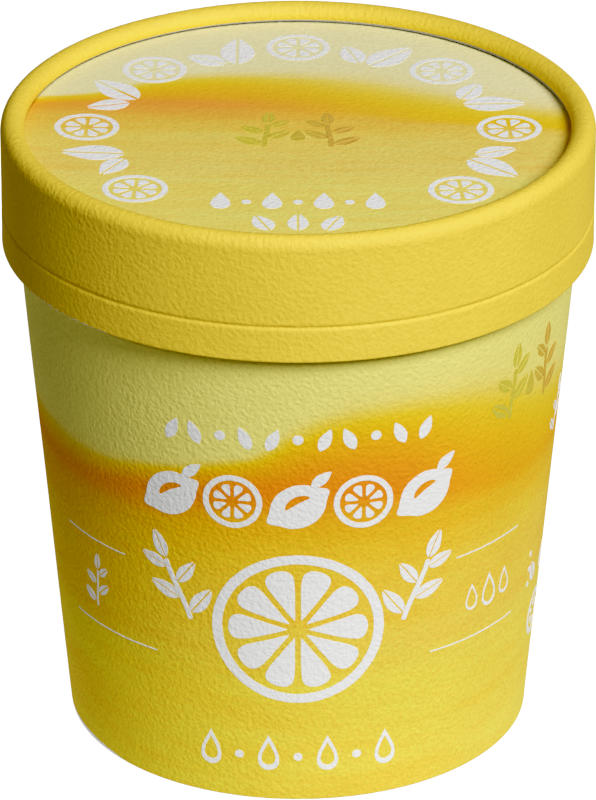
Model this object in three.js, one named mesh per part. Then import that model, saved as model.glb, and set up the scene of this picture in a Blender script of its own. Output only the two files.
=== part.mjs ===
// A small paper cup of sorbet with its paper lid pressed on.
//
// Everything is turned about one upright axis. The cup tapers down to a narrow foot,
// and its floor is a paper disc set up inside that foot. The lid is a paper band
// rolled over the edge of a sunken paper disc, with a folded hem round its lower edge.
//
// Units are millimetres and +Z is up. The origin is the centre of the foot, on the
// surface that the cup stands on, and the printed front faces -Y.

import * as THREE from "three";

// ---- Driving dimensions ----

const LID_RADIUS = 27.0;
const TOTAL_HEIGHT = 59.15;
const FOOT_RADIUS = 21.25;
const WALL_TOP_RADIUS = 25.5; // where the wall goes in under the lid's hem
const HEM_BOTTOM_Z = 47.15;
const HEM_HEIGHT = 3.35; // from the lid's lower edge up to the crease over the hem

// The rolled rim, from its crest outwards and inwards.
const RIM_OUTER_ROLL = { across: 1.05, down: 1.3 };
const RIM_INNER_ROLL = { across: 1.15, down: 1.05 };

const LID_DISC_SINK = 1.6; // from the rim's crest down to the top of the lid's disc
const LID_DISC_THICKNESS = 0.5;

const HEM_EDGE_ROUNDING = 0.2;
const CREASE_DEPTH = 0.2;
const CREASE_HALF_HEIGHT = 0.3;

const FOOT_RING_THICKNESS = 1.1; // the wall folded in under itself
const FOOT_RECESS = 4.6; // from the foot up to the cup's floor disc
const FLOOR_DISC_THICKNESS = 0.5;

const SIDE_GAP = 0.3; // between the sides of pieces that fit into one another

// ---- Sizes worked out from them ----

const DISC_TOP_Z = TOTAL_HEIGHT - LID_DISC_SINK;
const DISC_BOTTOM_Z = DISC_TOP_Z - LID_DISC_THICKNESS;
const BAND_INNER_RADIUS = WALL_TOP_RADIUS + SIDE_GAP;
const CREST_RADIUS = LID_RADIUS - RIM_OUTER_ROLL.across;
const RIM_INNER_RADIUS = CREST_RADIUS - RIM_INNER_ROLL.across;
const WALL_SLOPE = (WALL_TOP_RADIUS - FOOT_RADIUS) / HEM_BOTTOM_Z;
const FLOOR_TOP_Z = FOOT_RECESS + FLOOR_DISC_THICKNESS;
const FOOT_INNER_RADIUS = FOOT_RADIUS - FOOT_RING_THICKNESS;
const RECESS_TOP_RADIUS = FOOT_INNER_RADIUS + WALL_SLOPE * FLOOR_TOP_Z;

const SIDES = 96; // flats round the axis
const ROLL_STEPS = 7;
const EDGE_STEPS = 3;

// ---- Turned solids ----

/** A point of a half section: radius from the axis, and height. */
const at = (radius, z) => new THREE.Vector2(radius, z);

/** Points of an elliptical arc, centred on (radius, z), between two angles in degrees. */
function arc(radius, z, across, down, fromDegrees, toDegrees, steps) {
  return Array.from({ length: steps + 1 }, (_, step) => {
    const degrees = fromDegrees + ((toDegrees - fromDegrees) * step) / steps;
    const angle = THREE.MathUtils.degToRad(degrees);
    return at(radius + across * Math.cos(angle), z + down * Math.sin(angle));
  });
}

/** A half section turned about Z. It runs up the outside, so that its faces point out. */
function turned(name, halfSection, { color, roughness }) {
  const geometry = new THREE.LatheGeometry(halfSection, SIDES);
  geometry.rotateX(Math.PI / 2);
  const material = new THREE.MeshStandardMaterial({ color, roughness, metalness: 0 });
  const mesh = new THREE.Mesh(geometry, material);
  mesh.name = name;
  return mesh;
}

// ---- The pieces ----

/** The cup and what fills it, up to the lid's disc, with the recess under its floor. */
function cup() {
  const halfSection = [
    at(0, FLOOR_TOP_Z),
    at(RECESS_TOP_RADIUS, FLOOR_TOP_Z),
    at(FOOT_INNER_RADIUS, 0),
    at(FOOT_RADIUS, 0),
    at(WALL_TOP_RADIUS, HEM_BOTTOM_Z),
    at(WALL_TOP_RADIUS, DISC_BOTTOM_Z),
    at(0, DISC_BOTTOM_Z),
  ];
  return turned("cup", halfSection, { color: "#e0be3c", roughness: 0.5 });
}

/** The paper disc that closes the foot, seen from below. */
function floorDisc() {
  const radius = FOOT_INNER_RADIUS + WALL_SLOPE * FOOT_RECESS - SIDE_GAP;
  const halfSection = [
    at(0, FOOT_RECESS),
    at(radius, FOOT_RECESS),
    at(radius, FLOOR_TOP_Z),
    at(0, FLOOR_TOP_Z),
  ];
  return turned("floor_disc", halfSection, { color: "#f1ede2", roughness: 0.7 });
}

/** The lid's band: hem, crease, side and the rim rolled in over the disc. */
function lidBand() {
  const creaseZ = HEM_BOTTOM_Z + HEM_HEIGHT;
  const hemEdge = arc(
    LID_RADIUS - HEM_EDGE_ROUNDING, HEM_BOTTOM_Z + HEM_EDGE_ROUNDING,
    HEM_EDGE_ROUNDING, HEM_EDGE_ROUNDING, -90, 0, EDGE_STEPS,
  );
  const crease = [
    at(LID_RADIUS, creaseZ - CREASE_HALF_HEIGHT),
    at(LID_RADIUS - CREASE_DEPTH, creaseZ),
    at(LID_RADIUS, creaseZ + CREASE_HALF_HEIGHT),
  ];
  const outerRoll = arc(
    CREST_RADIUS, TOTAL_HEIGHT - RIM_OUTER_ROLL.down,
    RIM_OUTER_ROLL.across, RIM_OUTER_ROLL.down, 0, 90, ROLL_STEPS,
  );
  const innerRoll = arc(
    CREST_RADIUS, TOTAL_HEIGHT - RIM_INNER_ROLL.down,
    RIM_INNER_ROLL.across, RIM_INNER_ROLL.down, 90, 180, ROLL_STEPS,
  );
  const insideCorner = at(BAND_INNER_RADIUS, HEM_BOTTOM_Z);
  const halfSection = [
    insideCorner,
    ...hemEdge,
    ...crease,
    ...outerRoll,
    ...innerRoll.slice(1),
    at(RIM_INNER_RADIUS, DISC_TOP_Z),
    at(BAND_INNER_RADIUS, DISC_TOP_Z),
    insideCorner.clone(),
  ];
  return turned("lid_band", halfSection, { color: "#dec54b", roughness: 0.45 });
}

/** The lid's disc, sunk below the rim and held under its roll. */
function lidDisc() {
  const halfSection = [
    at(0, DISC_BOTTOM_Z),
    at(WALL_TOP_RADIUS, DISC_BOTTOM_Z),
    at(WALL_TOP_RADIUS, DISC_TOP_Z),
    at(0, DISC_TOP_Z),
  ];
  return turned("lid_disc", halfSection, { color: "#d9c878", roughness: 0.5 });
}

const sorbetCup = new THREE.Group();
sorbetCup.add(cup(), floorDisc(), lidBand(), lidDisc());

export default sorbetCup;
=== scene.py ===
"""A small paper cup of sorbet with its paper lid on: its finish and print, around the CAD part.

Every shape is worked out in millimetres on the sizes of the CAD nodes, and turned into metres
as its mesh is made. Angles round the cup start at the front, -Y, and grow towards +X.
"""

import math

import bmesh
import bpy
import numpy as np
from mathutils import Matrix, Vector, noise


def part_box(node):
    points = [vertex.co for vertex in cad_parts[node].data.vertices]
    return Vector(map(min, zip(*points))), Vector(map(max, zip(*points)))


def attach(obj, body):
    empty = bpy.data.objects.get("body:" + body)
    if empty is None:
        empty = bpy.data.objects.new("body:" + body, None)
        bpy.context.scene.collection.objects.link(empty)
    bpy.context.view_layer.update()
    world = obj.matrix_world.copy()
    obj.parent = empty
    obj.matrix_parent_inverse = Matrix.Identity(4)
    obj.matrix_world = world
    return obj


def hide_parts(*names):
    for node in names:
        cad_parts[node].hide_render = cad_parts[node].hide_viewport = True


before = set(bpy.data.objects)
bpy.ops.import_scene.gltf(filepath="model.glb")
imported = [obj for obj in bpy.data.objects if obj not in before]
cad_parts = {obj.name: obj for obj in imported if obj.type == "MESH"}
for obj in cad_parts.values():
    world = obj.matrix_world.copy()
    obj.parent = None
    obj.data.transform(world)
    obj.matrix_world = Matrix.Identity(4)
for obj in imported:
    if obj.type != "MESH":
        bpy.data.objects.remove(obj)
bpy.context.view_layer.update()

MM = 0.001

# ---- Camera: the photograph's viewpoint ----

CAMERA_AIM_Z = 30.3  # mm up the cup's axis
CAMERA_ELEVATION = 26.2  # degrees above level, from straight in front
CAMERA_DISTANCE = 694.5  # mm
CAMERA_LENS = 338.8  # mm, on Blender's 36 mm sensor
CAMERA_NEAR = 10  # mm, and nothing nearer is drawn


def from_front(turn, elevation, distance):
    """A point this far from the origin, turned from the front towards +X, in millimetres."""
    turn, elevation = math.radians(turn), math.radians(elevation)
    level = distance * math.cos(elevation)
    return Vector((level * math.sin(turn), -level * math.cos(turn), distance * math.sin(elevation)))


def look_at(thing, place, target):
    """Place a camera or lamp in the scene, turned to its target."""
    thing.location = place * MM
    thing.rotation_euler = (target - place).to_track_quat("-Z", "Y").to_euler()
    bpy.context.scene.collection.objects.link(thing)


def make_camera():
    camera = bpy.data.objects.new("camera", bpy.data.cameras.new("camera"))
    target = Vector((0, 0, CAMERA_AIM_Z))
    look_at(camera, target + from_front(0, CAMERA_ELEVATION, CAMERA_DISTANCE), target)
    camera.data.lens = CAMERA_LENS
    camera.data.clip_start = CAMERA_NEAR * MM
    bpy.context.scene.camera = camera


make_camera()

# ---- Sizes taken from the frame, in millimetres ----

SAME_HEIGHT = 0.001  # mm, within which two corners are level


def corners(node):
    """Lowest and highest corner of a CAD node."""
    low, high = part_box(node)
    return low / MM, high / MM


def radii_at(node, z):
    """Least and greatest radius of the corners that a CAD node has at one height."""
    places = [v.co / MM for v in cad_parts[node].data.vertices]
    radii = [p.xy.length for p in places if abs(p.z - z) < SAME_HEIGHT]
    return min(radii), max(radii)


LID_RADIUS = corners("lid_band")[1].x
RIM_TOP = corners("lid_band")[1].z
HEM_BOTTOM = corners("lid_band")[0].z
HEM_INNER_RADIUS = radii_at("lid_band", HEM_BOTTOM)[0]
DISC_TOP = corners("lid_disc")[1].z
DISC_BOTTOM, DISC_RADIUS = corners("lid_disc")[0].z, corners("lid_disc")[1].x
RIM_INNER_RADIUS = radii_at("lid_band", DISC_TOP)[0]
FOOT_INNER_RADIUS, FOOT_RADIUS = radii_at("cup", 0)
WALL_TOP_RADIUS = radii_at("cup", HEM_BOTTOM)[1]
FLOOR_Z, FLOOR_TOP_Z = corners("floor_disc")[0].z, corners("floor_disc")[1].z

PAPER = 0.4  # thickness of one layer of the cup's board
WALL_SLOPE = (WALL_TOP_RADIUS - FOOT_RADIUS) / HEM_BOTTOM


def wall_radius(z):
    """The radius of the cup's wall at a height."""
    return FOOT_RADIUS + WALL_SLOPE * z


# ---- Tone and colours ----

# The picture's tone: a step in shown colour, of 255, stands for the same ratio of light
# wherever it is. So shade takes as much from yellow's faint blue as from its strong red.
TONE_LIGHT, TONE_SHOWN = 0.815, 233
TONE_STEP = 75
BRIGHTEST = 1.2  # the light that the picture's scale ends at

# How much light falls on what faces the key light: the cup's wall, the lid's band and its disc.
WALL_LIGHT = 0.762
BAND_LIGHT = 0.858
DISC_LIGHT = 0.645

# What the paper's white sheen adds there.
WALL_SHEEN, BAND_SHEEN, DISC_SHEEN = 0.04, 0.035, 0.024


def seen(red, green, blue, light=WALL_LIGHT, sheen=WALL_SHEEN):
    """The paint that shows as this colour, each part of 255, where this much light and sheen fall."""
    shown = (TONE_LIGHT * math.exp((value - TONE_SHOWN) / TONE_STEP) for value in (red, green, blue))
    return (*((value - sheen) / light for value in shown), 1)


def seen_on_lid(red, green, blue):
    return seen(red, green, blue, DISC_LIGHT, DISC_SHEEN)


WHITE = (1, 1, 1, 1)
RAW_BOARD = seen(231, 229, 224)  # without print
CUT_EDGE_SHADE_GREY = (0.36, 0.37, 0.4, 1)  # the roll's cut edge, in the slit between rim and disc, painted dark grey as the shade in that slit

TONE_CURVE_STEPS = 12  # from the darkest light to the brightest, each the same ratio


def decoded(shown):
    """The light that a display gives for a value in sRGB, both from 0 to 1."""
    return shown / 12.92 if shown <= 0.04045 else ((shown + 0.055) / 1.055) ** 2.4


def set_tone():
    """Blender's plain display curve, with a curve before it that gives the tone above."""
    settings = bpy.context.scene.view_settings
    settings.view_transform = "Standard"
    settings.look = "None"
    settings.use_curve_mapping = True
    mapping = settings.curve_mapping
    mapping.white_level = (BRIGHTEST,) * 3
    curve = mapping.curves[3]
    darkest = TONE_LIGHT * math.exp(-TONE_SHOWN / TONE_STEP)
    steps = [step / TONE_CURVE_STEPS for step in range(TONE_CURVE_STEPS + 1)]
    lights = [darkest * (BRIGHTEST / darkest) ** step for step in steps]
    shown = [min(255, TONE_SHOWN + TONE_STEP * math.log(light / TONE_LIGHT)) / 255 for light in lights]
    heights = [decoded(value) for value in shown]
    while len(curve.points) < len(lights) + 1:
        curve.points.new(0.5, 0.5)
    for point, light, height in zip(curve.points, [0] + lights, [0] + heights):
        point.location = (light / BRIGHTEST, height)
        point.handle_type = "VECTOR"
    mapping.update()


# ---- Shader graphs ----

GRAIN_SIZE = 0.42  # mm across
GRAIN_DEPTH = 0.12  # mm
PAPER_ROUGHNESS = 0.8
PAPER_SPECULAR = 1.0


class Graph:
    """One material's shader nodes, added and linked as they are needed."""

    def __init__(self, name, roughness=PAPER_ROUGHNESS, specular=PAPER_SPECULAR):
        self.material = bpy.data.materials.new(name)
        self.material.use_nodes = True
        self.tree = self.material.node_tree
        self.shader = self.tree.nodes["Principled BSDF"]
        self.shader.inputs["Specular IOR Level"].default_value = specular
        self.shader.inputs["Roughness"].default_value = roughness
        self.place = self.add("ShaderNodeTexCoord").outputs["Object"]
        self.normal = None

    def add(self, kind, inputs=None, **settings):
        node = self.tree.nodes.new(kind)
        for name, value in settings.items():
            setattr(node, name, value)
        for name, value in (inputs or {}).items():
            self.feed(node.inputs[name], value)
        return node

    def feed(self, socket, value):
        if isinstance(value, bpy.types.NodeSocket):
            self.tree.links.new(value, socket)
        else:
            socket.default_value = value

    def math(self, operation, *values):
        inputs = dict(enumerate(values))
        return self.add("ShaderNodeMath", inputs, operation=operation).outputs[0]

    def axes(self):
        """x, y and z in millimetres."""
        split = self.add("ShaderNodeSeparateXYZ", {0: self.place})
        return [self.math("DIVIDE", axis, MM) for axis in split.outputs]

    def from_axis(self, x, y):
        """How far a place is from the cup's axis."""
        squares = [self.math("MULTIPLY", axis, axis) for axis in (x, y)]
        return self.math("SQRT", self.math("ADD", *squares))

    def spread(self, value, low, high, smooth=False):
        """value taken from low..high to 0..1, and held there."""
        kind = "SMOOTHSTEP" if smooth else "LINEAR"
        inputs = {"Value": value, "From Min": low, "From Max": high}
        return self.add("ShaderNodeMapRange", inputs, interpolation_type=kind).outputs["Result"]

    def mix(self, share, first, second, blend="MIX"):
        """The first colour where the share is 0, and the second, or its blend, where it is 1."""
        node = self.add("ShaderNodeMix", data_type="RGBA", blend_type=blend)
        sockets = (node.inputs[0], node.inputs[6], node.inputs[7])
        for socket, value in zip(sockets, (share, first, second)):
            self.feed(socket, value)
        return node.outputs[2]

    def times(self, color, shade):
        """A colour multiplied by a shade."""
        return self.mix(1.0, color, shade, "MULTIPLY")

    def ramp(self, value, stops):
        """A colour for each value from 0 to 1: stops are (value, colour), lowest first."""
        node = self.add("ShaderNodeValToRGB", {0: value})
        elements = node.color_ramp.elements
        while len(elements) < len(stops):
            elements.new(1.0)
        for element, (position, color) in zip(elements, stops):
            element.position = position
            element.color = color
        return node.outputs["Color"]

    def curve(self, value, points):
        """A smooth curve through (value, height), both from 0 to 1."""
        node = self.add("ShaderNodeFloatCurve", {"Value": value})
        line = node.mapping.curves[0]
        while len(line.points) < len(points):
            line.points.new(0.5, 0.5)
        for point, spot in zip(line.points, points):
            point.location = spot
            point.handle_type = "AUTO"
        node.mapping.update()
        return node.outputs[0]

    def noise(self, size, detail=2.0, roughness=0.5, stretch=(1, 1, 1), shift=(0, 0, 0)):
        """Cloudy noise from 0 to 1, its lumps about `size` mm across times each axis's stretch."""
        scale = [1 / (size * MM * axis) for axis in stretch]
        inputs = {"Vector": self.place, "Scale": scale, "Location": shift}
        mapped = self.add("ShaderNodeMapping", inputs).outputs[0]
        inputs = {"Vector": mapped, "Scale": 1.0, "Detail": detail, "Roughness": roughness}
        return self.add("ShaderNodeTexNoise", inputs).outputs["Fac"]

    def wander(self, value, cloud, reach):
        """A value in millimetres that a noise moves by up to half this reach to either side."""
        return self.math("ADD", value, self.math("MULTIPLY_ADD", cloud, reach, -reach / 2))

    def bump(self, height, depth):
        """Relief of `depth` mm where the height goes from 0 to 1, over the bumps before it."""
        inputs = {"Height": height, "Strength": 1.0, "Distance": depth * MM}
        if self.normal is not None:
            inputs["Normal"] = self.normal
        self.normal = self.add("ShaderNodeBump", inputs).outputs[0]
        self.feed(self.shader.inputs["Normal"], self.normal)

    def colour(self, value):
        self.feed(self.shader.inputs["Base Color"], value)


def grained(graph, color, relief, share=0.10):
    """Emboss the paper's fine grain, this share of its full depth, and tint the colour by it.

    It is up to `share` deeper in the grain's hollows and in slow cloudy patches.
    """
    grain = graph.noise(GRAIN_SIZE, detail=1, roughness=0.6)
    graph.bump(grain, GRAIN_DEPTH * relief)
    cloud = graph.noise(7, detail=2)
    height = graph.math("ADD", graph.math("MULTIPLY", grain, 0.6), graph.math("MULTIPLY", cloud, 0.4))
    deeper = (1 - share, 1 - share, 1 - 1.6 * share, 1)
    return graph.times(color, graph.ramp(height, [(0.3, deeper), (0.7, WHITE)]))


# ---- The print on the cup's wall ----

# The print's colours lie on one line, from cream through lemon and amber to orange. A colour's
# warmth is how far its green is shown below its red, and how far its blue is goes with that.
WALL_RED = 225
WALL_BLUE_BELOW_RED = [(8, 93), (13, 105), (20, 131), (26, 168), (31, 188), (36, 194), (90, 195)]

# The line of soft hills between the pale top and the yellow, and the glowing orange line
# below it: (degrees round from the front, height in mm).
HILL_LINE = [
    (-180, 37.0), (-140, 38.5), (-100, 34.0), (-70, 33.0), (-50, 32.9), (-40, 33.5), (-30, 34.2),
    (-20, 35.2), (-10, 36.4), (0, 39.2), (10, 40.9), (20, 41.3), (30, 41.1), (40, 40.5), (50, 39.4),
    (60, 37.7), (70, 36.6), (85, 35.6), (110, 34.2), (140, 34.0), (180, 37.0),
]
GLOW_LINE = [
    (-180, 31.0), (-120, 31.5), (-75, 30.0), (-50, 30.2), (-40, 31.0), (-25, 32.2), (0, 33.1),
    (20, 32.6), (40, 31.0), (60, 30.0), (75, 29.5), (130, 30.0), (180, 31.0),
]
# How orange the glowing line is.
GLOW_STRENGTH = [
    (-180, 0.55), (-130, 0.8), (-90, 0.2), (-70, 0.22), (-50, 0.42), (-40, 0.65), (-30, 0.8),
    (-10, 1.0), (15, 1.0), (30, 0.78), (40, 0.56), (50, 0.33), (60, 0.2), (75, 0.05), (100, 0.1),
    (140, 0.3), (180, 0.55),
]
ROUND_THE_CUP = (-180, 180)  # degrees that 0 and 1 stand for in a curve
LINE_SCALE = 50.0  # mm, the height that stands for 1 in a curve

# Warmth above the glowing line where it is orange and where it is faint: the hills are at 0.5.
ORANGE_RISE = [
    (0.0, 82), (0.07, 79), (0.14, 72), (0.2, 64), (0.26, 57), (0.32, 48), (0.38, 39),
    (0.43, 30), (0.49, 21), (0.55, 12), (0.62, 8.5), (0.75, 7.5),
]
FAINT_RISE = [
    (0.0, 46), (0.1, 41), (0.2, 35), (0.3, 30), (0.4, 26), (0.49, 21), (0.55, 16), (0.62, 11.5),
    (0.75, 9), (0.9, 8),
]

# The yellows from the foot, at 0, up to where the glow has settled into gold all round, at 1.
GOLD_Z = 28.0  # mm
WALL_YELLOWS = [
    (0.0, seen(227, 206, 78)), (0.43, seen(226, 206, 78)), (0.5, seen(225, 204, 81)),
    (0.58, seen(225, 199, 80)), (0.65, seen(226, 197, 74)), (0.78, seen(225, 196, 72)),
    (0.86, seen(225, 195, 66)), (0.91, seen(225, 192, 57)), (0.96, seen(225, 188, 51)),
    (1.0, seen(224, 184, 44)),
]
# Their share of green and blue from the left side to the right, deeper at the left.
DEEPER_TO_LEFT = [
    (0.0, (1, 0.97, 0.4, 1)), (0.28, (1, 0.99, 0.7, 1)), (0.55, (1, 1, 0.9, 1)), (1.0, WHITE),
]
DEEPER_SPAN = (-20, 16)  # mm along x


def warming(rise, blue_below_red, red, light=WALL_LIGHT, sheen=WALL_SHEEN):
    """A rise's warmths as ramp stops of the print's colours, all with this much red."""
    stops = []
    for place, warmth in rise:
        blue = red - np.interp(warmth, *zip(*blue_below_red))
        stops.append((place, seen(red, red - warmth, blue, light, sheen)))
    return stops


def line_curve(graph, share, points, span, scale):
    """A smooth curve through (place, height), where the share goes from 0 to 1 over the span."""
    first, last = span
    spots = [((place - first) / (last - first), height / scale) for place, height in points]
    return graph.math("MULTIPLY", graph.curve(share, spots), scale)


def glowing_bands(graph, height, lines, rises, settle, lower):
    """The print's colours by height, over and under its glowing line.

    Over it they pale, and are halfway at the line of hills. Under it the glow settles into the
    lower colours.
    """
    hill, glow, strength = lines
    orange, faint = rises
    over = graph.math("SUBTRACT", height, glow)
    share = graph.math("MULTIPLY", graph.math("DIVIDE", over, graph.math("SUBTRACT", hill, glow)), 0.5)
    upper = graph.mix(strength, graph.ramp(share, faint), graph.ramp(share, orange))
    heart = graph.mix(strength, faint[0][1], orange[0][1])
    below = graph.mix(settle, lower, heart)
    return graph.mix(graph.math("GREATER_THAN", height, glow), below, upper)


def watercolour(graph, color, stretch):
    """The colour with soft washes, long by their stretch, some warm and some green, and fine dots."""
    wash = graph.noise(2.6, detail=4, roughness=0.55, stretch=stretch, shift=(5, 2, 9))
    warm, green = (1.0, 0.92, 0.82, 1), (0.99, 1.06, 1.12, 1)
    shade = graph.ramp(wash, [(0.3, warm), (0.5, WHITE), (0.68, green)])
    speckle = graph.noise(0.26, detail=1, shift=(3, 7, 1))
    dots = graph.ramp(speckle, [(0.3, (1.0, 0.9, 0.9, 1)), (0.7, (1.0, 1.1, 1.1, 1))])
    return graph.times(graph.times(color, shade), dots)


def wall_print(graph):
    """Soft bands of colour: cream, lemon, a glowing orange line, gold, and yellow to the foot."""
    x, y, z = graph.axes()
    angle = graph.math("ARCTAN2", x, graph.math("MULTIPLY", y, -1.0))
    turn = graph.math("MULTIPLY_ADD", angle, 1 / math.tau, 0.5)
    brush = graph.noise(3.0, detail=4, roughness=0.6, stretch=(4, 4, 0.45))
    height = graph.wander(z, brush, 1.2)

    hill = line_curve(graph, turn, HILL_LINE, ROUND_THE_CUP, LINE_SCALE)
    glow = line_curve(graph, turn, GLOW_LINE, ROUND_THE_CUP, LINE_SCALE)
    strength = line_curve(graph, turn, GLOW_STRENGTH, ROUND_THE_CUP, 1.0)
    rises = [warming(rise, WALL_BLUE_BELOW_RED, WALL_RED) for rise in (ORANGE_RISE, FAINT_RISE)]

    # Under the glow: down to gold, and on through lighter yellows to the foot.
    yellow = graph.ramp(graph.math("DIVIDE", height, GOLD_Z), WALL_YELLOWS)
    deeper = graph.ramp(graph.spread(x, *DEEPER_SPAN), DEEPER_TO_LEFT)
    lower = watercolour(graph, graph.times(yellow, deeper), (6, 6, 0.8))
    settle = graph.spread(height, GOLD_Z, glow, smooth=True)
    return glowing_bands(graph, height, (hill, glow, strength), rises, settle, lower)


WORN_FOOT = (-14.5, -19.5)  # mm along x, over which the foot's edge is more and more worn
WORN_FOOT_HEIGHT = 0.42  # mm
PAINTED_HEM_SHADE = (0.62, 0.62, 0.5, 1)  # painted shade, right under the lid's hem


def sleeve_paper():
    graph = Graph("sleeve_paper")
    printed = grained(graph, wall_print(graph), 0.92)
    x, y, z = graph.axes()

    # Bare board along the foot's edge, more of it where that is worn, and on all the inside.
    fibre = graph.noise(0.5, detail=2, shift=(1, 8, 2))
    worn = graph.math("MULTIPLY", graph.spread(x, *WORN_FOOT, smooth=True), WORN_FOOT_HEIGHT)
    over_edge = graph.math("SUBTRACT", graph.wander(z, fibre, 0.24), worn)
    wall = graph.math("MULTIPLY_ADD", z, WALL_SLOPE, FOOT_RADIUS)
    inside = graph.math("SUBTRACT", wall, graph.from_axis(x, y))
    bare = graph.math("MAXIMUM", graph.spread(over_edge, 0.08, 0.02), graph.spread(inside, 0.2, 0.3))

    # Painted shade in the nook right under the lid's hem, darkening the wall's colour there.
    under_hem_shade = graph.spread(z, HEM_BOTTOM - 1.2, HEM_BOTTOM - 0.65, smooth=True)
    graph.colour(graph.times(graph.mix(bare, printed, RAW_BOARD), graph.mix(under_hem_shade, WHITE, PAINTED_HEM_SHADE)))
    return graph.material


# ---- The print on the lid's disc ----

LID_RED = 214
LID_BLUE_BELOW_RED = [
    (5, 47), (9, 60), (13, 78), (17, 104), (21, 139), (25, 174), (29, 193), (40, 196), (54, 187),
    (66, 164),
]

# The same bands laid across the disc: (mm across from the middle, mm towards the back).
LID_HILL_LINE = [
    (-25, 7.2), (-22, 7.9), (-18, 8.8), (-14, 11.0), (-10, 12.5), (-6, 13.0), (-2, 13.0), (2, 12.5),
    (6, 11.6), (10, 10.0), (14, 8.3), (18, 6.8), (22, 5.4), (25, 4.6),
]
LID_GLOW_LINE = [
    (-25, 5.9), (-18, 6.3), (-10, 6.2), (-2, 5.7), (2, 5.1), (6, 4.6), (10, 3.5), (14, 2.8),
    (18, 2.0), (25, 0.8),
]
LID_GLOW_STRENGTH = [
    (-25, 0.75), (-18, 0.95), (-12, 1.0), (-6, 0.93), (-2, 0.75), (2, 0.55), (6, 0.33), (10, 0.22),
    (14, 0.12), (25, 0.0),
]
LID_WIDTH = 50.0  # mm
ACROSS_THE_LID = (-LID_WIDTH / 2, LID_WIDTH / 2)  # what 0 and 1 stand for in a curve
LID_LINE_SCALE = 20.0  # mm, the distance that stands for 1 in a curve

# Warmth above the glowing line: the line of hills is at 0.5.
LID_ORANGE_RISE = [
    (0.0, 66), (0.065, 62), (0.145, 54), (0.215, 47), (0.29, 41), (0.365, 33), (0.44, 24),
    (0.5, 15), (0.55, 9), (0.62, 5),
]
LID_FAINT_RISE = [
    (0.0, 32), (0.1, 30), (0.2, 27), (0.28, 24), (0.35, 21), (0.43, 18), (0.5, 15), (0.58, 12.5),
    (0.66, 9.5), (0.8, 7), (0.95, 5),
]

# The yellows in front of the glow, and how far in front of it they are reached.
LID_YELLOW_SPAN = (-22.0, 3.0)  # mm towards the back
LID_YELLOW_RED = 213
LID_YELLOWS = [  # the place, and the green and blue beside that red
    (0.0, 199, 100), (0.4, 198, 99), (0.48, 196, 100), (0.56, 191, 95), (0.8, 191, 90),
    (0.88, 187, 80), (0.92, 183, 74), (0.96, 180, 71), (1.0, 176, 65),
]
LID_SETTLE_FAINT, LID_SETTLE_MORE = 1.0, 2.7  # mm where the glow is faint, and more where orange
PRINT_REACH = 0.42  # mm below its edge that the disc's printed top reaches, sagged and tilted


def lid_print(graph):
    """The wall's soft bands of colour once more, from the back of the disc to its front."""
    x, y, _ = graph.axes()
    across = graph.math("MULTIPLY_ADD", x, 1 / LID_WIDTH, 0.5)
    brush = graph.noise(3.0, detail=4, roughness=0.6, stretch=(4, 0.4, 1), shift=(2, 2, 0))
    height = graph.wander(y, brush, 1.0)

    hill = line_curve(graph, across, LID_HILL_LINE, ACROSS_THE_LID, LID_LINE_SCALE)
    glow = line_curve(graph, across, LID_GLOW_LINE, ACROSS_THE_LID, LID_LINE_SCALE)
    strength = line_curve(graph, across, LID_GLOW_STRENGTH, ACROSS_THE_LID, 1.0)
    rises = [
        warming(rise, LID_BLUE_BELOW_RED, LID_RED, DISC_LIGHT, DISC_SHEEN)
        for rise in (LID_ORANGE_RISE, LID_FAINT_RISE)
    ]

    yellows = [(place, seen_on_lid(LID_YELLOW_RED, *rest)) for place, *rest in LID_YELLOWS]
    yellow = graph.ramp(graph.spread(height, *LID_YELLOW_SPAN), yellows)
    lower = watercolour(graph, yellow, (6, 0.6, 1))
    reach = graph.math("MULTIPLY_ADD", strength, LID_SETTLE_MORE, LID_SETTLE_FAINT)
    below = graph.math("SUBTRACT", glow, height)
    settle = graph.spread(graph.math("DIVIDE", below, reach), 1.0, 0.0)
    return glowing_bands(graph, height, (hill, glow, strength), rises, settle, lower)


def lid_disc_paper():
    graph = Graph("lid_disc_paper")
    printed = grained(graph, lid_print(graph), 0.5)
    z = graph.axes()[2]
    under = graph.spread(z, DISC_TOP - PRINT_REACH, DISC_TOP - PRINT_REACH - 0.04)
    graph.colour(graph.mix(under, printed, RAW_BOARD))
    return graph.material


# ---- Other finishes ----

PLEAT_SIZE, PLEAT_DEPTH = 0.42, 0.065  # mm
WORN_HEM = (-13, -19)  # mm along x, over which the hem's edge is more and more worn


def pleats(graph, x, y, z):
    """Fine radial pleats on the rolled rim, over the grain."""
    across = graph.from_axis(x, y)
    round_x, round_y = (graph.math("DIVIDE", axis, across) for axis in (x, y))
    drawn_out = graph.math("MULTIPLY", z, 0.012)
    place = graph.add("ShaderNodeCombineXYZ", {0: round_x, 1: round_y, 2: drawn_out}).outputs[0]
    inputs = {"Vector": place, "Scale": LID_RADIUS / PLEAT_SIZE, "Detail": 1.0, "Roughness": 0.5}
    folds = graph.add("ShaderNodeTexNoise", inputs).outputs["Fac"]
    inputs = {"Vector": place, "Scale": 2.2, "Detail": 1.0}
    patchy = graph.spread(graph.add("ShaderNodeTexNoise", inputs).outputs["Fac"], 0.35, 0.65)
    rolled = graph.spread(z, RIM_TOP - 1.9, RIM_TOP - 0.7, smooth=True)
    depth = graph.math("MULTIPLY", rolled, graph.math("MULTIPLY_ADD", patchy, 0.6, 0.4))
    graph.bump(graph.math("MULTIPLY", folds, depth), PLEAT_DEPTH)


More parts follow.
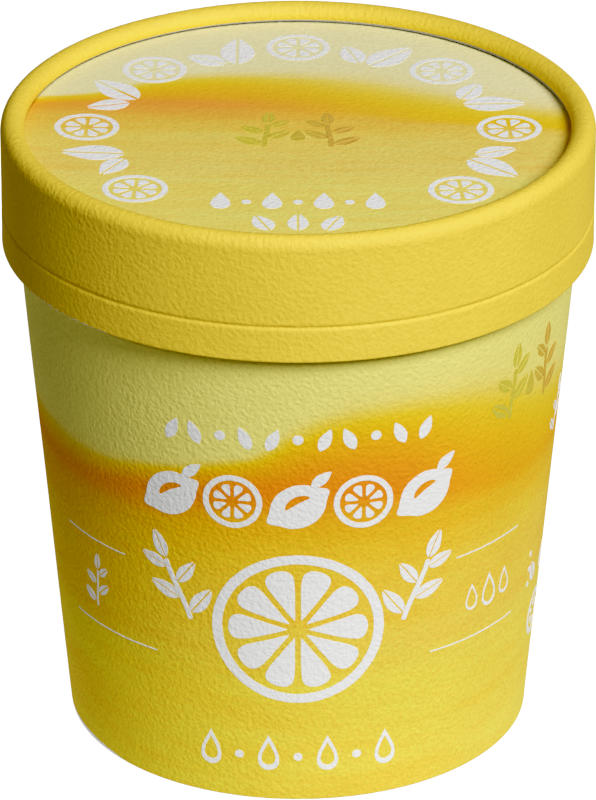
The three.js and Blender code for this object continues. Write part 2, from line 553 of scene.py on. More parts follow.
def band_paper():
    graph = Graph("band_paper")
    yellow = grained(graph, seen(235, 210, 82, BAND_LIGHT, BAND_SHEEN), 0.7)
    x, y, z = graph.axes()
    pleats(graph, x, y, z)

    # Bare board along the hem's edge where that is worn.
    fibre = graph.noise(0.3, detail=2, shift=(4, 4, 1))
    worn = graph.math("MULTIPLY_ADD", graph.spread(x, *WORN_HEM, smooth=True), 0.3, -0.2)
    over_edge = graph.math("SUBTRACT", graph.wander(z, fibre, 0.5), worn)
    hem = graph.spread(over_edge, HEM_BOTTOM + 0.05, HEM_BOTTOM)

    # The roll's cut edge in the slit over the disc: real board, painted dark grey as painted shade.
    low = graph.spread(z, DISC_TOP + 0.2, DISC_TOP + 0.15)
    near = graph.math("LESS_THAN", graph.from_axis(x, y), RIM_INNER_RADIUS + 0.8)
    cut_edge = graph.math("MULTIPLY", low, near)
    graph.colour(graph.mix(cut_edge, graph.mix(hem, yellow, RAW_BOARD), CUT_EDGE_SHADE_GREY))
    return graph.material


def board():
    graph = Graph("board", specular=0.2)
    graph.colour(grained(graph, RAW_BOARD, 0.5, 0.05))
    return graph.material


def white_ink(name, color):
    graph = Graph(name, roughness=0.55)
    graph.colour(grained(graph, color, 0.9, 0.03))
    return graph.material


def gold_ink(name, left, right, first, last):
    """Gold ink whose colour goes from left to right, from the first to the last mm along x."""
    graph = Graph(name, roughness=0.5, specular=0.3)
    across = graph.spread(graph.axes()[0], first, last)
    graph.colour(grained(graph, graph.mix(across, left, right), 0.8, 0.12))
    return graph.material


# ---- Meshes ----

SLEEVE_COLUMNS, FLOOR_COLUMNS, BAND_COLUMNS, DISC_COLUMNS = 480, 240, 960, 360
MERGE_WITHIN = 1e-8  # metres
MAP_MARGIN = 0.01  # share of the map left empty round its halves


def stacked(*parts):
    """Arrays of the same shape, made into one array of points or corners."""
    return np.stack(parts, axis=-1)


def distances(path):
    """How far along a path each of its points is."""
    return np.concatenate([[0], np.cumsum(np.linalg.norm(np.diff(path, axis=0), axis=1))])


def round_axis(radius, angles, z):
    """Points this far from the axis, at these angles round it and at this height."""
    return stacked(radius * np.sin(angles), -radius * np.cos(angles), z + 0 * angles)


def mesh_object(name, points, faces, material, uvs, sharp_from=180):
    """A mesh of points in millimetres, its doubled points merged, smooth up to this many degrees."""
    mesh = bpy.data.meshes.new(name)
    mesh.from_pydata((np.asarray(points) * MM).tolist(), [], faces)
    layer = mesh.uv_layers.new(name="OFBake")
    layer.data.foreach_set("uv", np.asarray(uvs, dtype=float).ravel())
    shape = bmesh.new()
    shape.from_mesh(mesh)
    bmesh.ops.remove_doubles(shape, verts=shape.verts, dist=MERGE_WITHIN)
    bmesh.ops.recalc_face_normals(shape, faces=shape.faces)
    shape.to_mesh(mesh)
    shape.free()
    mesh.shade_smooth()
    mesh.set_sharp_from_angle(angle=math.radians(sharp_from))
    mesh.materials.append(material)
    piece = bpy.data.objects.new(name, mesh)
    bpy.context.scene.collection.objects.link(piece)
    return piece


def grid_faces(rows, columns, wraps):
    """Faces of a grid of points that closes round its columns, and round its rows where it wraps.

    Each comes with its corners' places in the grid, rows first, for its map.
    """
    row, column = np.meshgrid(np.arange(rows if wraps else rows - 1), np.arange(columns), indexing="ij")
    corner_rows = stacked(row, row, row + 1, row + 1)
    corner_columns = stacked(column, column + 1, column + 1, column)
    faces = (corner_rows % rows) * columns + corner_columns % columns
    return faces.reshape(-1, 4), corner_rows, corner_columns


def lumps(points, size):
    """Smooth noise from -1 to 1 at each point, with lumps about `size` mm across."""
    heights = [noise.noise(Vector(point) / size) for point in points.reshape(-1, 3)]
    return np.array(heights).reshape(points.shape[:-1])


def arc(radius, z, across, down, first, last, steps):
    """Half-section points on an elliptical arc about (radius, z), between two angles in degrees."""
    angles = np.radians(np.linspace(first, last, steps + 1))
    return [(radius + across * math.cos(a), z + down * math.sin(a)) for a in angles]


def line(start, end, step):
    """Half-section points from start up to but not including end, about `step` mm apart."""
    count = max(1, round(math.dist(start, end) / step))
    start, end = np.array(start), np.array(end)
    return [tuple(start + (end - start) * i / count) for i in range(count)]


def turned(name, section, columns, relief, material, closed=True):
    """A half section of (radius, z) turned about Z, then pressed in or out by its relief.

    relief(places, angles, section) gives mm along the outward normal for a grid of places.
    The section runs up the outside. The left and the right half take half the map each.
    """
    section = np.array(section)
    angles = np.linspace(-math.pi, math.pi, columns, endpoint=False)
    radius, z = section[:, 0][:, None], section[:, 1][:, None]
    places = round_axis(radius, angles, z)

    ahead, behind = np.roll(section, -1, axis=0), np.roll(section, 1, axis=0)
    if not closed:
        ahead[-1], behind[0] = section[-1], section[0]
    along = (ahead - behind) / np.linalg.norm(ahead - behind, axis=1)[:, None]
    out, up = along[:, 1][:, None], -along[:, 0][:, None]
    normals = round_axis(out, angles, up)
    places = places + normals * relief(places, angles, section)[..., None]

    rows = len(section)
    faces, corner_rows, corner_columns = grid_faces(rows, columns, closed)

    length = distances(np.vstack([section, section[:1]]))
    length = length / length[rows if closed else rows - 1]
    right = corner_columns[..., :1] >= columns // 2
    u = MAP_MARGIN + (corner_columns / columns * 2 - right) * (1 - 2 * MAP_MARGIN)
    rise = length[corner_rows] * (1 - 4 * MAP_MARGIN)
    v = 2 * MAP_MARGIN + (rise + right) / 2 * (1 - 2 * MAP_MARGIN)
    return mesh_object(name, places.reshape(-1, 3), faces.tolist(), material, stacked(u, v))


# ---- The cup ----

WALL_STEP = 0.33  # mm between rows of the wall
SEAM_ANGLE = math.radians(-108)  # where the sleeve laps over itself
SEAM_STEP = 0.3  # mm
SEAM_WIDTH = 0.22  # radians over which the step dies away
LARGE_GRAIN = 1.3  # mm across, the largest lumps of the paper's grain
KNURLS, KNURL_DEPTH = 120, 0.04  # round the inside of the foot's fold, and mm
FLOOR_DISH = 0.12  # mm that the floor's middle is pressed up


def slow_waves(places, height=0.05, size=15, grain_height=0.005):
    """The unevenness of rolled board, this many mm high and across, and the grain's largest lumps."""
    return height * lumps(places, size) + grain_height * lumps(places, LARGE_GRAIN)


def seam(angles):
    """The step where the sleeve's outer end lies over its inner end."""
    past = (angles - SEAM_ANGLE) % math.tau
    return SEAM_STEP * np.exp(-past / (SEAM_WIDTH / 3)) * (past < SEAM_WIDTH)


def wall_relief(places, angles):
    """How far the wall stands out at these places."""
    return slow_waves(places) + seam(angles)


def make_sleeve():
    """The wall, its end folded in under it at the foot, and its inner face."""
    fold_top = 3.4
    top = HEM_BOTTOM + 2.5
    edge = 0.12  # rounding of the foot's folded edge
    liner = wall_radius(fold_top) - 2.2 * PAPER
    section = [(wall_radius(fold_top + 0.6) - PAPER, fold_top + 0.6)]
    section += line((liner + 0.3, fold_top), (liner - 0.05, fold_top - 0.1), 0.2)
    section += line((liner - 0.05, fold_top - 0.1), (FOOT_INNER_RADIUS, edge * 1.5), 0.25)
    section += arc(FOOT_INNER_RADIUS + edge, edge, edge, edge, 180, 270, 3)
    section += arc(FOOT_RADIUS - edge, edge, edge, edge, -90, 0, 3)
    section += line((wall_radius(edge + 0.2), edge + 0.2), (wall_radius(top), top), WALL_STEP)
    section += [(wall_radius(top), top), (wall_radius(top) - PAPER, top)]
    section += line((wall_radius(40) - PAPER, 40), (wall_radius(10) - PAPER, 10), 10)

    def relief(places, angles, rows):
        radius, z = rows[:, 0], rows[:, 1]
        outside = radius > wall_radius(z) - 0.1
        wall = (outside * np.clip(z, 0, 1))[:, None] * wall_relief(places, angles)
        knurled = (radius < liner) & (z > 0.5) & (z < fold_top - 0.3)
        return wall + KNURL_DEPTH * knurled[:, None] * np.sin(angles * KNURLS)

    return turned("sleeve", section, SLEEVE_COLUMNS, relief, sleeve_paper())


def make_floor():
    """The disc in the foot, and its skirt turned down inside the fold."""
    fillet = 0.8
    skirt = wall_radius(FLOOR_Z) - 2 * PAPER
    skirt_bottom = 2.6
    section = [(0, FLOOR_Z)] + line((0.4, FLOOR_Z), (skirt - fillet, FLOOR_Z), 0.6)
    section += arc(skirt - fillet, FLOOR_Z - fillet, fillet, fillet, 90, 0, 6)
    section += [(skirt - 0.1, skirt_bottom), (skirt + 0.25, skirt_bottom)]
    section += [(skirt + 0.25, FLOOR_TOP_Z), (0, FLOOR_TOP_Z)]

    def relief(places, angles, rows):
        radius, z = rows[:, 0], rows[:, 1]
        dish = FLOOR_DISH * np.cos(np.clip(radius / skirt, 0, 1) * math.pi / 2) * (radius < skirt)
        return 0.03 * lumps(places, 9) * (z < FLOOR_TOP_Z)[:, None] - dish[:, None]

    return turned("floor_board", section, FLOOR_COLUMNS, relief, board(), closed=False)


# ---- The lid ----

OUTER_ROLL = (1.05, 1.3)  # mm across and down from the rim's crest, outwards
INNER_ROLL = (1.15, 1.05)  # the same inwards
CURL_UNDER = (0.3, 0.46)  # mm across and down, where the roll turns back over the disc
RIM_GAP = 0.08  # mm between the rolled rim and the disc
DISC_SAG = 0.12  # mm that the disc's middle lies below its edge
DISC_TILT = 0.24  # mm that it lies lower at one side than at the other
DISC_LOW_TURN = math.radians(112)  # where it lies lowest
EDGE_FOLLOWS = 0.8  # share of that drop that the roll's cut edge goes along with
CREASE_Z = HEM_BOTTOM + 3.42
CREASE_DEPTH = 0.13
CREASE_WIDTH = 0.18
WRINKLE_HEIGHT, WRINKLE_SIZE = 0.02, 0.42  # mm


def crease(z):
    """How far the crease over the hem presses the band in."""
    return -CREASE_DEPTH * np.exp(-(((z - CREASE_Z) / CREASE_WIDTH) ** 2))


def wrinkles(angles, rows):
    """Fine pleats across the rolled rim, where the flat band is gathered in over the disc."""
    radius, z = rows[:, 0], rows[:, 1]
    roll_bottom = RIM_TOP - OUTER_ROLL[1] - 0.8
    rolled = np.clip((z - roll_bottom) / 1.6, 0, 1) ** 1.5
    on_rim = (radius < RIM_INNER_RADIUS + 1.5) | (z > roll_bottom)

    # The pleats change a little on their way from outside, over the crest, to inside.
    spots = stacked(np.sin(angles), np.cos(angles), 0 * angles) * LID_RADIUS
    gathers = []
    for share in (0.0, 0.5, 1.0):
        fine = lumps(spots + [0, 0, share * 3], WRINKLE_SIZE)
        gathers.append(fine + 0.7 * lumps(spots + [9, 0, share * 2], 0.9))
    inner = np.clip((LID_RADIUS - radius) / (LID_RADIUS - RIM_INNER_RADIUS), 0, 1)
    first = np.clip(1 - 2 * inner, 0, 1)[:, None]
    last = np.clip(2 * inner - 1, 0, 1)[:, None]
    blended = first * gathers[0] + (1 - first - last) * gathers[1] + last * gathers[2]
    patchy = 0.65 + 0.35 * lumps(spots, 16)
    return WRINKLE_HEIGHT * blended * patchy * (rolled * on_rim)[:, None]


def disc_drop(places):
    """How much lower the disc sits in its rim towards one side."""
    towards_low = places[..., 0] * math.sin(DISC_LOW_TURN) - places[..., 1] * math.cos(DISC_LOW_TURN)
    return DISC_TILT * (1 + towards_low / RIM_INNER_RADIUS) / 2


def make_lid_band():
    """The band from the inside of its hem, up over the rolled rim, to the roll's cut edge."""
    crest = LID_RADIUS - OUTER_ROLL[0]
    innermost = crest - INNER_ROLL[0]
    rim_bottom = DISC_TOP + RIM_GAP
    rounding = 0.2
    section = [(HEM_INNER_RADIUS + 0.05, HEM_BOTTOM + 0.1), (HEM_INNER_RADIUS + 0.35, HEM_BOTTOM)]
    section += arc(LID_RADIUS - rounding, HEM_BOTTOM + rounding, rounding, rounding, -90, 0, 6)
    section += line((LID_RADIUS, HEM_BOTTOM + rounding + 0.1), (LID_RADIUS, CREASE_Z - 0.6), 0.25)
    section += line((LID_RADIUS, CREASE_Z - 0.6), (LID_RADIUS, CREASE_Z + 0.6), 0.07)
    section += line((LID_RADIUS, CREASE_Z + 0.6), (LID_RADIUS, RIM_TOP - OUTER_ROLL[1]), 0.3)
    section += arc(crest, RIM_TOP - OUTER_ROLL[1], *OUTER_ROLL, 0, 90, 18)
    section += arc(crest, RIM_TOP - INNER_ROLL[1], *INNER_ROLL, 90, 180, 14)[1:]
    section += arc(innermost + CURL_UNDER[0], RIM_TOP - INNER_ROLL[1], *CURL_UNDER, 180, 250, 6)[1:]
    section += [(innermost + 0.35, rim_bottom), (HEM_INNER_RADIUS - 0.1, rim_bottom)]
    section += [(HEM_INNER_RADIUS + 0.05, DISC_BOTTOM)]

    def relief(places, angles, rows):
        radius, z = rows[:, 0], rows[:, 1]
        shown = (radius > LID_RADIUS - 0.3) | (z > rim_bottom + 0.1)
        steady = np.clip((z - HEM_BOTTOM) / 0.8, 0.3, 1)[:, None]
        side = (radius > LID_RADIUS - 0.01)[:, None]
        wobble = 1 + 0.25 * lumps(places, 6)
        worn = slow_waves(places) * steady + side * crease(places[..., 2]) * wobble
        cut_edge = (radius < RIM_INNER_RADIUS + 0.5) & (z < rim_bottom + 0.1)
        follow = EDGE_FOLLOWS * cut_edge[:, None] * disc_drop(places)
        return shown[:, None] * worn + wrinkles(angles, rows) + follow

    return turned("lid_band_paper", section, BAND_COLUMNS, relief, band_paper())


def disc_relief(places):
    """The disc sags to its middle and sits lower at one side, with the board's slow waves."""
    from_axis = np.linalg.norm(places[..., :2], axis=-1)
    sag = DISC_SAG * np.cos(np.clip(from_axis / DISC_RADIUS, 0, 1) * math.pi / 2)
    return slow_waves(places, 0.04, 12, 0.003) - sag - disc_drop(places)


def make_lid_disc():
    rings = line((DISC_RADIUS - 0.3, DISC_TOP), (0, DISC_TOP), 0.35)
    section = [(0, DISC_BOTTOM), (DISC_RADIUS - 0.3, DISC_BOTTOM)] + rings + [(0, DISC_TOP)]

    def relief(places, angles, rows):
        return disc_relief(places) * (rows[:, 1] == DISC_TOP)[:, None]

    return turned("lid_disc_printed", section, DISC_COLUMNS, relief, lid_disc_paper(), closed=False)


for piece, nodes, slot in (
    (make_sleeve(), ["cup"], "cup_sleeve"),
    (make_floor(), ["floor_disc"], "floor_board"),
    (make_lid_band(), ["lid_band"], "lid_band"),
    (make_lid_disc(), ["lid_disc"], "lid_print"),
):
    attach(piece, "root")
    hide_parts(*nodes)

# ---- Ink: flat motifs, laid on the paper as thin shells ----

# A patch is a grid of flat points, in rows whose columns close into loops, with how far each
# point is raised (0 in the paper, 1 on top), and whether its rows close too. A motif is a list
# of patches round the origin, in millimetres, its top towards the second axis.

INK_LIFT = 0.02  # mm that the ink stands on its paper
INK_ROOT = 0.06  # mm that its shell goes into the paper
INK_STEP = 0.24  # mm between its points
RAGGED = 0.035  # mm that its edges wander by, over the grain
SPRIG_LEAVES = 4


def evenly(outline):
    """A closed outline's points, spread evenly along it."""
    ends = np.vstack([outline, outline[:1]])
    length = distances(ends)
    places = np.linspace(0, length[-1], max(12, round(length[-1] / INK_STEP)), endpoint=False)
    return stacked(*[np.interp(places, length, ends[:, axis]) for axis in (0, 1)])


def filled(outline):
    """An outline that bulges round its middle, filled."""
    outline = evenly(outline)
    middle = outline.mean(axis=0)
    rings = max(2, round(np.linalg.norm(outline - middle, axis=1).mean() / INK_STEP))
    scales = np.concatenate([[0, 1], np.linspace(1, 0, rings + 1)])
    raised = np.concatenate([[0, 0], np.ones(rings + 1)])
    flat = middle + scales[:, None, None] * (outline - middle)
    return [(flat, np.repeat(raised[:, None], len(outline), axis=1), False)]


def hollow(outer, inner):
    """The band between two outlines that have a point each at the same places."""
    rings = max(1, round(np.linalg.norm(outer - inner, axis=1).mean() / INK_STEP))
    shares = np.concatenate([np.linspace(0, 1, rings + 1), [1, 0]])
    raised = np.concatenate([np.ones(rings + 1), [0, 0]])
    flat = outer + shares[:, None, None] * (inner - outer)
    return [(flat, np.repeat(raised[:, None], len(outer), axis=1), True)]


def stroke(path, width):
    """A line of this width along a path, with rounded ends."""
    path = np.asarray(path, dtype=float)
    length = distances(path)
    end, half = length[-1], width / 2
    count = max(4, round(end / INK_STEP))
    tips = half * (1 - np.cos(np.linspace(0, math.pi / 2, 4)))
    places = np.concatenate([tips, np.linspace(half, end - half, count)[1:-1], end - tips[::-1]])
    spine = stacked(*[np.interp(places, length, path[:, axis]) for axis in (0, 1)])
    along = np.gradient(spine, axis=0)
    along /= np.linalg.norm(along, axis=1)[:, None]
    side = stacked(-along[:, 1], along[:, 0])
    to_end = np.clip(np.minimum(places, end - places) / half, 0, 1)
    across = np.array([-1, 0, 1, 1, -1])
    raised = np.array([1, 1, 1, 0, 0]) * (to_end > 0)[:, None]
    reach = half * np.sqrt(1 - (1 - to_end) ** 2)
    flat = spine[:, None] + reach[:, None, None] * across[:, None] * side[:, None]
    return [(flat, raised, False)]


def placed(motif, across, up, turn=0.0, size=1.0):
    """A motif made larger, turned anticlockwise by degrees, and moved."""
    cosine = size * math.cos(math.radians(turn))
    sine = size * math.sin(math.radians(turn))
    spin = np.array([[cosine, sine], [-sine, cosine]])
    return [(flat @ spin + [across, up], raised, wraps) for flat, raised, wraps in motif]


def mirrored(motif):
    """A motif with its left and right swapped."""
    return [(flat * [-1, 1], raised, wraps) for flat, raised, wraps in motif]


def circle(radius, count=0):
    """A circle from its top, of this many points, or else of as many as its size needs."""
    count = count or max(12, round(math.tau * radius / INK_STEP))
    angles = np.linspace(0, math.tau, count, endpoint=False)
    return radius * stacked(np.sin(angles), np.cos(angles))


def segment(outer, spread, gap):
    """One segment of a cut citrus, pointing up from the middle, its sides `spread` from upright."""
    inner = gap / 2 / math.sin(spread) + 0.08
    along = inner + (outer - inner) * (1 - np.cos(np.linspace(0, math.pi, 15))) / 2
    share = (along - inner) / (outer - inner)
    half = (along * math.tan(spread) - gap / 2 / math.cos(spread)) * np.sqrt(1 - share**8)
    return np.concatenate([stacked(half, along), stacked(-half, along)[::-1]])


def slice_of_citrus(radius, pieces, rind, gap):
    """A cut citrus: its rind, and its segments with this gap round each."""
    edge = circle(radius)
    motif = hollow(edge, circle(radius - rind, len(edge)))
    outline = segment(radius - rind - gap, math.pi / pieces, gap)
    for piece in range(pieces):
        motif += placed(filled(outline), 0, 0, 360 * (piece + 0.5) / pieces)
    return motif


def leaf(length, width, rib):
    """A leaf from the origin upwards, in two halves along a bare rib."""
    share = np.linspace(0, 1, 20)
    bulge = width / 2 * np.sin(math.pi * share**0.8) ** 0.9
    edge = stacked(rib / 2 + bulge, length * share)
    spine = stacked(np.full(20, rib / 2), length * share)
    half = np.concatenate([edge, spine[::-1][1:-1]])
    return filled(half) + filled(half * [-1, 1])


def drop_outline(height):
    """A drop, its point up and its middle at the origin."""
    angles = np.linspace(0, math.tau, 40, endpoint=False)
    across = 0.36 * height * np.sin(angles) * np.sin(angles / 2) ** 1.4
    return stacked(across, height / 2 * np.cos(angles))


def lemon(length):
    """A whole lemon lying on its side, with a bare crescent of light on it."""
    angles = np.linspace(0, math.tau, 72, endpoint=False)
    cosine, sine = np.cos(angles), np.sin(angles)
    tips = 0.13 * np.exp(-((sine / 0.3) ** 2))
    outline = stacked((0.40 + 0.8 * tips) * cosine, 0.335 * sine)
    crescent = stacked(0.02 + 0.2 * cosine, 0.1 + 0.055 * sine - 0.05 * cosine**2)
    return hollow(length * outline, length * crescent)


def sprig(length, leaf_length, width):
    """A curved stem upwards from the origin, with leaves to either side and one at its tip."""
    def lean(share):
        return 0.12 * length * np.sin(math.pi * share / 2) ** 2

    share = np.linspace(0, 1, 24)
    motif = stroke(stacked(lean(share), length * share), width)
    blade = leaf(leaf_length, 0.42 * leaf_length, 0.16)
    for number in range(SPRIG_LEAVES):
        place = (number + 0.5) / SPRIG_LEAVES
        side = 1 if number % 2 else -1
        across = lean(place) + 0.3 * side
        motif += placed(blade, across, length * place, -side * 52, 1 - 0.25 * place)
    return motif + placed(blade, lean(1), length + 0.15, -8, 0.85)


def on_wall(flat, depth, turn):
    """Flat points laid round the cup's wall: mm round from a turn in degrees, and mm up."""
    z = flat[..., 1]
    angles = math.radians(turn) + flat[..., 0] / wall_radius(z)
    places = round_axis(wall_radius(z), angles, z)
    stand = depth + wall_relief(places, angles)
    out = round_axis(1, angles, -WALL_SLOPE)
    return places + out / math.hypot(1, WALL_SLOPE) * stand[..., None]


def on_disc(flat, depth, turn):
    """Flat points laid on the lid's disc: mm to the right, and mm to the back. It takes no turn."""
    places = np.concatenate([flat, np.full(depth.shape + (1,), DISC_TOP)], axis=-1)
    return places + stacked(0 * depth, 0 * depth, depth + disc_relief(places))


def inked(name, motifs, lay, material):
    """One mesh of thin shells on their paper, of motifs that come with their turn round the cup."""
    points, faces, corners = [], [], []
    for turn, motif in motifs:
        for flat, raised, wraps in motif:
            spots = np.concatenate([flat, np.zeros(flat.shape[:2] + (1,))], axis=-1)
            wander = stacked(lumps(spots, 0.55), lumps(spots + [0, 0, 40], 0.55))
            flat = flat + RAGGED * wander
            grid, _, _ = grid_faces(*raised.shape, wraps)
            faces.append(grid + sum(len(p) for p in points))
            points.append(lay(flat, raised * (INK_LIFT + INK_ROOT) - INK_ROOT, turn).reshape(-1, 3))
            corners.append(flat.reshape(-1, 2) + [math.radians(turn) * WALL_TOP_RADIUS, 0])
    points, faces, corners = np.concatenate(points), np.concatenate(faces), np.concatenate(corners)
    low, high = corners.min(axis=0), corners.max(axis=0)
    uvs = 2 * MAP_MARGIN + (1 - 4 * MAP_MARGIN) * (corners[faces] - low) / (high - low)
    return mesh_object(name, points, faces.tolist(), material, uvs, sharp_from=50)


# ---- The ink's design ----

SLICE = {"pieces": 8, "rind": 0.55, "gap": 0.36}
LEAVES_Z, FRUIT_Z, EMBLEM_Z, DROPS_Z = 37.3, 31.5, 18.4, 4.7  # mm up the wall
SIDE_LINES = (  # mm round from and to, and mm up
    (-26, -17.2, 23.2), (-24.9, -13.6, 14.1), (15.4, 24.1, 23.5), (12.6, 23.7, 14.2),
)
SIDE_LINE_WIDTH = 0.13


def leaf_row():
    """Small leaves and dots in a row."""
    motif = []
    for place in range(-5, 6):
        across, side = place * 2.35, (-1) ** place
        if place % 3 == 0:
            motif += placed(filled(circle(0.5)), across, LEAVES_Z + 1.2)
        else:
            motif += placed(leaf(2.5, 1.15, 0.0), across + 0.4 * side, LEAVES_Z, 24 * side)
    return motif


def in_turn(reach, step, even, odd):
    """A row of two marks in turn, `step` mm apart and `reach` steps to either side."""
    motif = []
    for place in range(-reach, reach + 1):
        motif += placed(odd if place % 2 else even, place * step, 0)
    return motif


def fruit_row():
    """Lemons, each with a leaf, and slices in turn."""
    fruit = placed(lemon(6.5), 0, FRUIT_Z, 32) + placed(leaf(2.4, 1.1, 0.0), 1.2, FRUIT_Z + 2.1, -50)
    return in_turn(2, 5.95, fruit, placed(slice_of_citrus(2.75, **SLICE), 0, FRUIT_Z + 0.2))


def emblem():
    """A large slice of citrus between two sprigs."""
    motif = placed(slice_of_citrus(7.9, 10, 0.95, 0.55), 0, EMBLEM_Z + 0.1)
    twig = sprig(6.4, 3.5, 0.5)
    return motif + placed(twig, 9.8, EMBLEM_Z, -16) + placed(mirrored(twig), -10.0, EMBLEM_Z, 16)


def drop_row():
    """Hollow drops with dots between them."""
    outline = drop_outline(3.8)
    drop = placed(hollow(outline, 0.66 * outline - [0, 0.1]), 0, DROPS_Z + 0.4)
    return in_turn(3, 2.7, placed(filled(circle(0.42)), 0, DROPS_Z), drop)


def side_marks():
    """Thin lines to either side, with a small sprig or drops between them."""
    motif = []
    for first, last, z in SIDE_LINES:
        motif += stroke(stacked(np.linspace(first, last, 60), np.full(60, z)), SIDE_LINE_WIDTH)
    motif += placed(sprig(3.9, 2.0, 0.24), -21.2, 16.0, 6)
    outline = drop_outline(3.6)
    for across, size in ((17.4, 0.8), (19.7, 1.0), (22.0, 0.8)):
        motif += placed(hollow(outline, 0.76 * outline - [0, 0.08]), across, 18.6, 0, size)
    return motif


def right_marks():
    """What the front's design ends with at the cup's right side."""
    motif = placed(sprig(3.7, 2.0, 0.3), 0, 29.9, -4)
    for row in range(3):
        motif += placed(filled(circle(0.3)), -3.2, 15.4 + 1.6 * row)
    motif += placed(leaf(2.6, 1.3, 0.2), -1.4, 15.2, 30) + placed(leaf(2.6, 1.3, 0.2), 1.0, 15.2, -30)
    return motif + placed(slice_of_citrus(2.3, **SLICE), 0.6, 10.8)


def ring_of_fruit():
    """Slices and pairs of leaves in turn round the lid's disc, open towards the front."""
    pair = placed(leaf(5.7, 2.9, 0.3), 0.5, -2.8, -22) + placed(leaf(4.0, 2.1, 0.22), -0.6, -2.5, 40)
    motif = []
    for place in range(-6, 7):
        mark = pair if place % 2 else slice_of_citrus(2.95, **SLICE)
        motif += placed(placed(mark, 0, 19.2), 0, 0, -21.8 * place)
    return motif


def disc_row():
    """Drops and dots in a row, and three leaves in front of them."""
    drop, dot = placed(filled(drop_outline(3.5)), 0, -14.9), placed(filled(circle(0.45)), 0, -15.2)
    motif = in_turn(3, 2.3, dot, drop)
    for place in range(-1, 2):
        motif += placed(leaf(3.4, 1.7, 0.22), place * 2.5, -21.3, -22 * place)
    return motif


def crossed_sprigs():
    """Two sprigs that bend towards each other, with a drop between them."""
    twig = sprig(5.0, 3.0, 0.5)
    motif = placed(twig, -3.0, -3.5, 4) + placed(mirrored(twig), 3.0, -3.5, -4)
    return motif + placed(filled(drop_outline(2.6)), 0, -0.9)


front = leaf_row() + fruit_row() + emblem() + drop_row() + side_marks()
wall_white = [(0, front), (77, right_marks()), (180, front)]
lid_white = [(0, ring_of_fruit() + disc_row())]
wall_gold = [(turn, placed(crossed_sprigs(), 0, 39.5)) for turn in (58, 238)]
lid_gold = [(0, placed(crossed_sprigs(), 0, 0.3))]

wall_white_ink = white_ink("wall_white_ink", seen(227, 227, 226))
# The same white ink as the wall's, painted a little lighter on the lid: painted light that makes up for
# the disc's dimmer light.
lid_white_ink = white_ink("lid_white_ink", seen_on_lid(217, 217, 217))
wall_gold_ink = gold_ink("wall_gold_ink", seen(206, 194, 92), seen(209, 176, 94), 20.5, 22.5)
lid_gold_ink = gold_ink("lid_gold_ink", seen_on_lid(193, 183, 74), seen_on_lid(196, 160, 78), -4.5, 4.5)
for piece, slot in (
    (inked("wall_white_ink", wall_white, on_wall, wall_white_ink), "white_ink"),
    (inked("lid_white_ink", lid_white, on_disc, lid_white_ink), "white_ink"),
    (inked("wall_gold_ink", wall_gold, on_wall, wall_gold_ink), "cup_sleeve"),
    (inked("lid_gold_ink", lid_gold, on_disc, lid_gold_ink), "lid_print"),
):
    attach(piece, "root")

# ---- Studio ----

KEY_TURN, KEY_ELEVATION = 32, 40  # degrees from the front towards +X, and up
KEY_DISTANCE, KEY_WIDTH = 700, 320  # mm
KEY_POWER = 4.4  # watts
EDGE_DISTANCE, EDGE_WIDTH = 600, 200  # mm
EDGE_ELEVATION = -12  # low enough to miss the lid's top
EDGE_LIGHTS = (("edge_left", -155, 0.72), ("edge_right", 140, 1.0))  # turn, and watts
GLOW_WIDTH = 125  # mm
GLOW_POWER = 0.0195
GLOW_SHIFT = 3  # mm towards +X, out of the cup's own shade
AMBIENT = 0.183
FLOOR_SIZE, FLOOR_SINK = 6, 0.0001  # metres across, and below the cup's foot


def lamp(name, width, power, place, target, glossy):
    """A soft round light this many mm across, at a place and turned towards its target."""
    light = bpy.data.objects.new(name, bpy.data.lights.new(name, "AREA"))
    light.data.shape = "DISK"
    light.data.size = width * MM
    light.data.energy = power
    light.visible_glossy = glossy
    look_at(light, place, target)
    return light


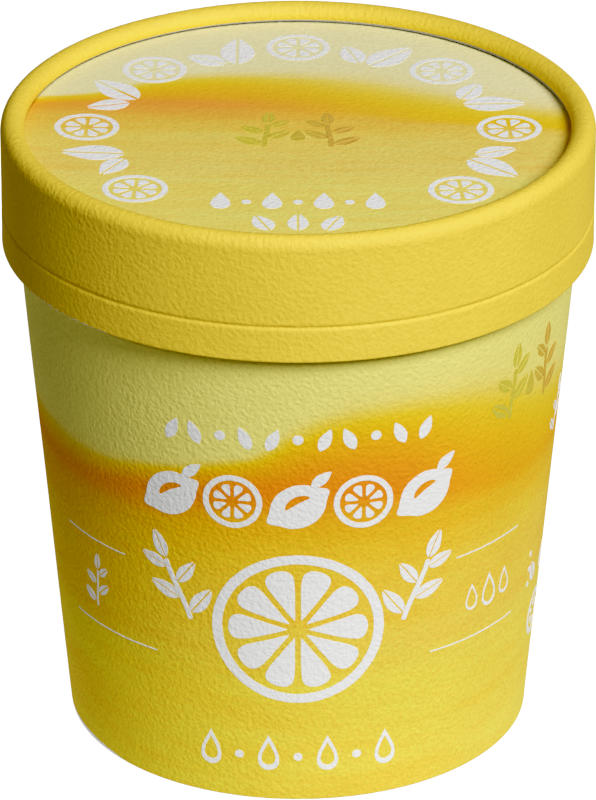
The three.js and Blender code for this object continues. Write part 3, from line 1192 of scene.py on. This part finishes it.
def studio_light(name, turn, elevation, distance, width, power, glossy=True):
    """A lamp round the cup, turned towards its middle."""
    target = Vector((0, 0, CAMERA_AIM_Z))
    lamp(name, width, power, target + from_front(turn, elevation, distance), target, glossy)


def floor_glow():
    """The light that the pale floor close round the cup throws up at it."""
    place = Vector((GLOW_SHIFT, 0, -1))
    light = lamp("floor_glow", GLOW_WIDTH, GLOW_POWER, place, place + Vector((0, 0, 1)), False)
    light.visible_camera = False


def make_floor_stage():
    """The pale floor, which shows white and neither shades nor colours the cup."""
    bpy.ops.mesh.primitive_plane_add(size=FLOOR_SIZE, location=(0, 0, -FLOOR_SINK))
    floor = bpy.context.object
    floor.name = "studio_floor"
    graph = Graph("studio_floor", roughness=0.9, specular=0.0)
    graph.colour((0.2, 0.2, 0.2, 1))
    graph.feed(graph.shader.inputs["Emission Color"], WHITE)
    graph.feed(graph.shader.inputs["Emission Strength"], BRIGHTEST)
    floor.data.materials.append(graph.material)
    floor.visible_diffuse = False
    floor.visible_glossy = False
    floor.visible_shadow = False


def make_world():
    """Even light from all round, behind a backdrop that the camera sees as white."""
    world = bpy.data.worlds.new("studio")
    bpy.context.scene.world = world
    world.use_nodes = True
    nodes, links = world.node_tree.nodes, world.node_tree.links
    surround, backdrop = nodes["Background"], nodes.new("ShaderNodeBackground")
    for background, strength in ((surround, AMBIENT), (backdrop, BRIGHTEST)):
        background.inputs["Color"].default_value = WHITE
        background.inputs["Strength"].default_value = strength
    path, choose = nodes.new("ShaderNodeLightPath"), nodes.new("ShaderNodeMixShader")
    links.new(path.outputs["Is Camera Ray"], choose.inputs[0])
    links.new(surround.outputs[0], choose.inputs[1])
    links.new(backdrop.outputs[0], choose.inputs[2])
    links.new(choose.outputs[0], nodes["World Output"].inputs[0])
    world.cycles_visibility.glossy = False


make_floor_stage()
make_world()
studio_light("key", KEY_TURN, KEY_ELEVATION, KEY_DISTANCE, KEY_WIDTH, KEY_POWER)
for name, turn, power in EDGE_LIGHTS:
    studio_light(name, turn, EDGE_ELEVATION, EDGE_DISTANCE, EDGE_WIDTH, power, glossy=False)
floor_glow()
set_tone()
